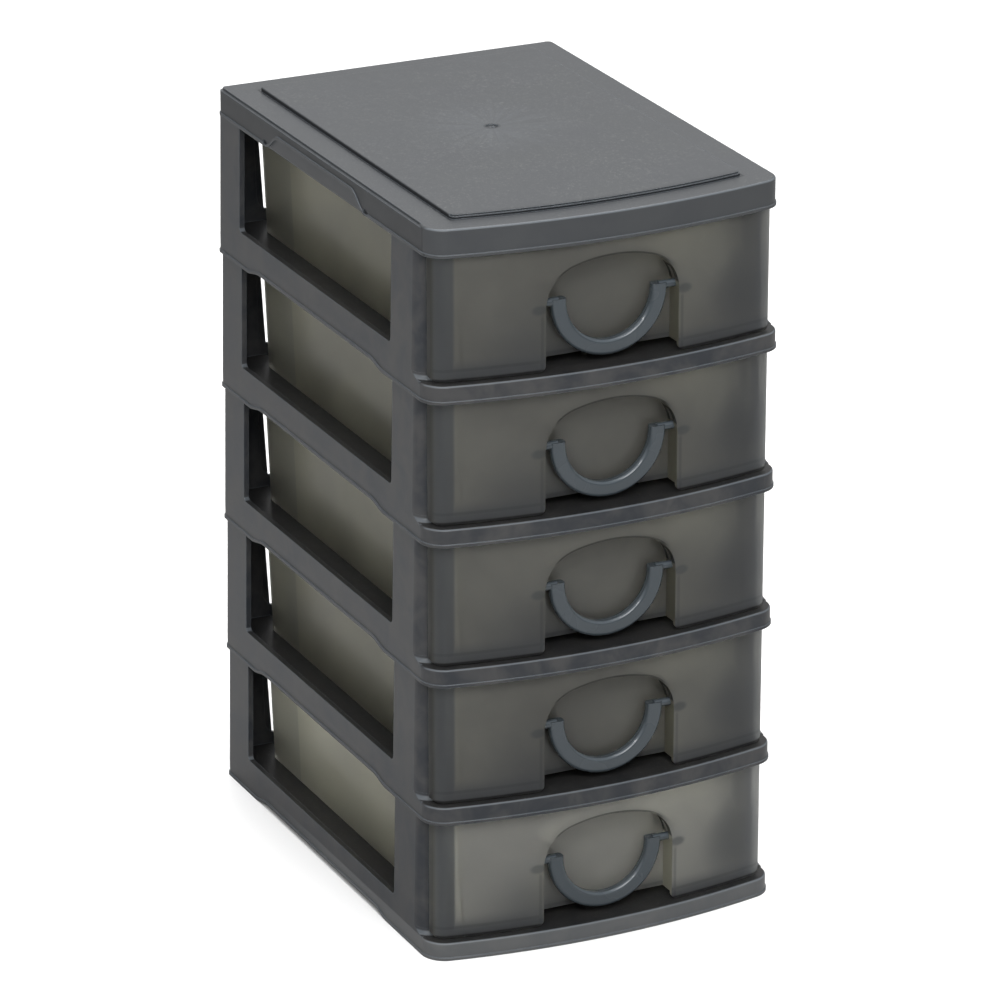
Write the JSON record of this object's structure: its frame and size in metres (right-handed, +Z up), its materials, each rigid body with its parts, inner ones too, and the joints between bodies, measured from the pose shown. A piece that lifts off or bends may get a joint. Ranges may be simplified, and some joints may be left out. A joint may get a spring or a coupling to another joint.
{
  "type": "drawer tower",
  "caption": "Desktop drawer tower: stacking open-sided tiers with bowed front bands, a lid with a raised panel, and translucent drawers with recessed bail handles.",
  "frame": {"origin": "on the surface the tower stands on, under the middle of its bounding box", "axes": "+X to the right as seen from the front, +Y to the back, +Z up; the drawers open towards -Y"},
  "size_m": [0.18, 0.252, 0.3595],
  "materials": {
    "frame_plastic": "smooth moulded dark grey, soft sheen",
    "drawer_plastic": "translucent smoke grey, lightly frosted inside",
    "handle_plastic": "smooth moulded blue-grey"
  },
  "bodies": {
    "frame": {"lid": "frame_plastic", "tier_1": "frame_plastic", "tier_2": "frame_plastic", "tier_3": "frame_plastic", "tier_4": "frame_plastic", "tier_5": "frame_plastic"},
    "drawer_body_1": {"drawer_1": "drawer_plastic"},
    "handle_body_1": {"handle_1": "handle_plastic"},
    "drawer_body_2": {"drawer_2": "drawer_plastic"},
    "handle_body_2": {"handle_2": "handle_plastic"},
    "drawer_body_3": {"drawer_3": "drawer_plastic"},
    "handle_body_3": {"handle_3": "handle_plastic"},
    "drawer_body_4": {"drawer_4": "drawer_plastic"},
    "handle_body_4": {"handle_4": "handle_plastic"},
    "drawer_body_5": {"drawer_5": "drawer_plastic"},
    "handle_body_5": {"handle_5": "handle_plastic"}
  },
  "joints": [
    {"name": "drawer_slide_1", "type": "slide", "parent": "frame", "child": "drawer_body_1", "axis": [0, -1, 0], "range_m": [0, 0.18]},
    {"name": "handle_swing_1", "type": "hinge", "parent": "drawer_body_1", "child": "handle_body_1", "pos_m": [0, -0.11488, 0.0404], "axis": [-1, 0, 0], "range_deg": [0, 110]},
    {"name": "drawer_slide_2", "type": "slide", "parent": "frame", "child": "drawer_body_2", "axis": [0, -1, 0], "range_m": [0, 0.18]},
    {"name": "handle_swing_2", "type": "hinge", "parent": "drawer_body_2", "child": "handle_body_2", "pos_m": [0, -0.11488, 0.1092], "axis": [-1, 0, 0], "range_deg": [0, 110]},
    {"name": "drawer_slide_3", "type": "slide", "parent": "frame", "child": "drawer_body_3", "axis": [0, -1, 0], "range_m": [0, 0.18]},
    {"name": "handle_swing_3", "type": "hinge", "parent": "drawer_body_3", "child": "handle_body_3", "pos_m": [0, -0.11488, 0.178], "axis": [-1, 0, 0], "range_deg": [0, 110]},
    {"name": "drawer_slide_4", "type": "slide", "parent": "frame", "child": "drawer_body_4", "axis": [0, -1, 0], "range_m": [0, 0.18]},
    {"name": "handle_swing_4", "type": "hinge", "parent": "drawer_body_4", "child": "handle_body_4", "pos_m": [0, -0.11488, 0.2468], "axis": [-1, 0, 0], "range_deg": [0, 110]},
    {"name": "drawer_slide_5", "type": "slide", "parent": "frame", "child": "drawer_body_5", "axis": [0, -1, 0], "range_m": [0, 0.18]},
    {"name": "handle_swing_5", "type": "hinge", "parent": "drawer_body_5", "child": "handle_body_5", "pos_m": [0, -0.11488, 0.3156], "axis": [-1, 0, 0], "range_deg": [0, 110]}
  ]
}
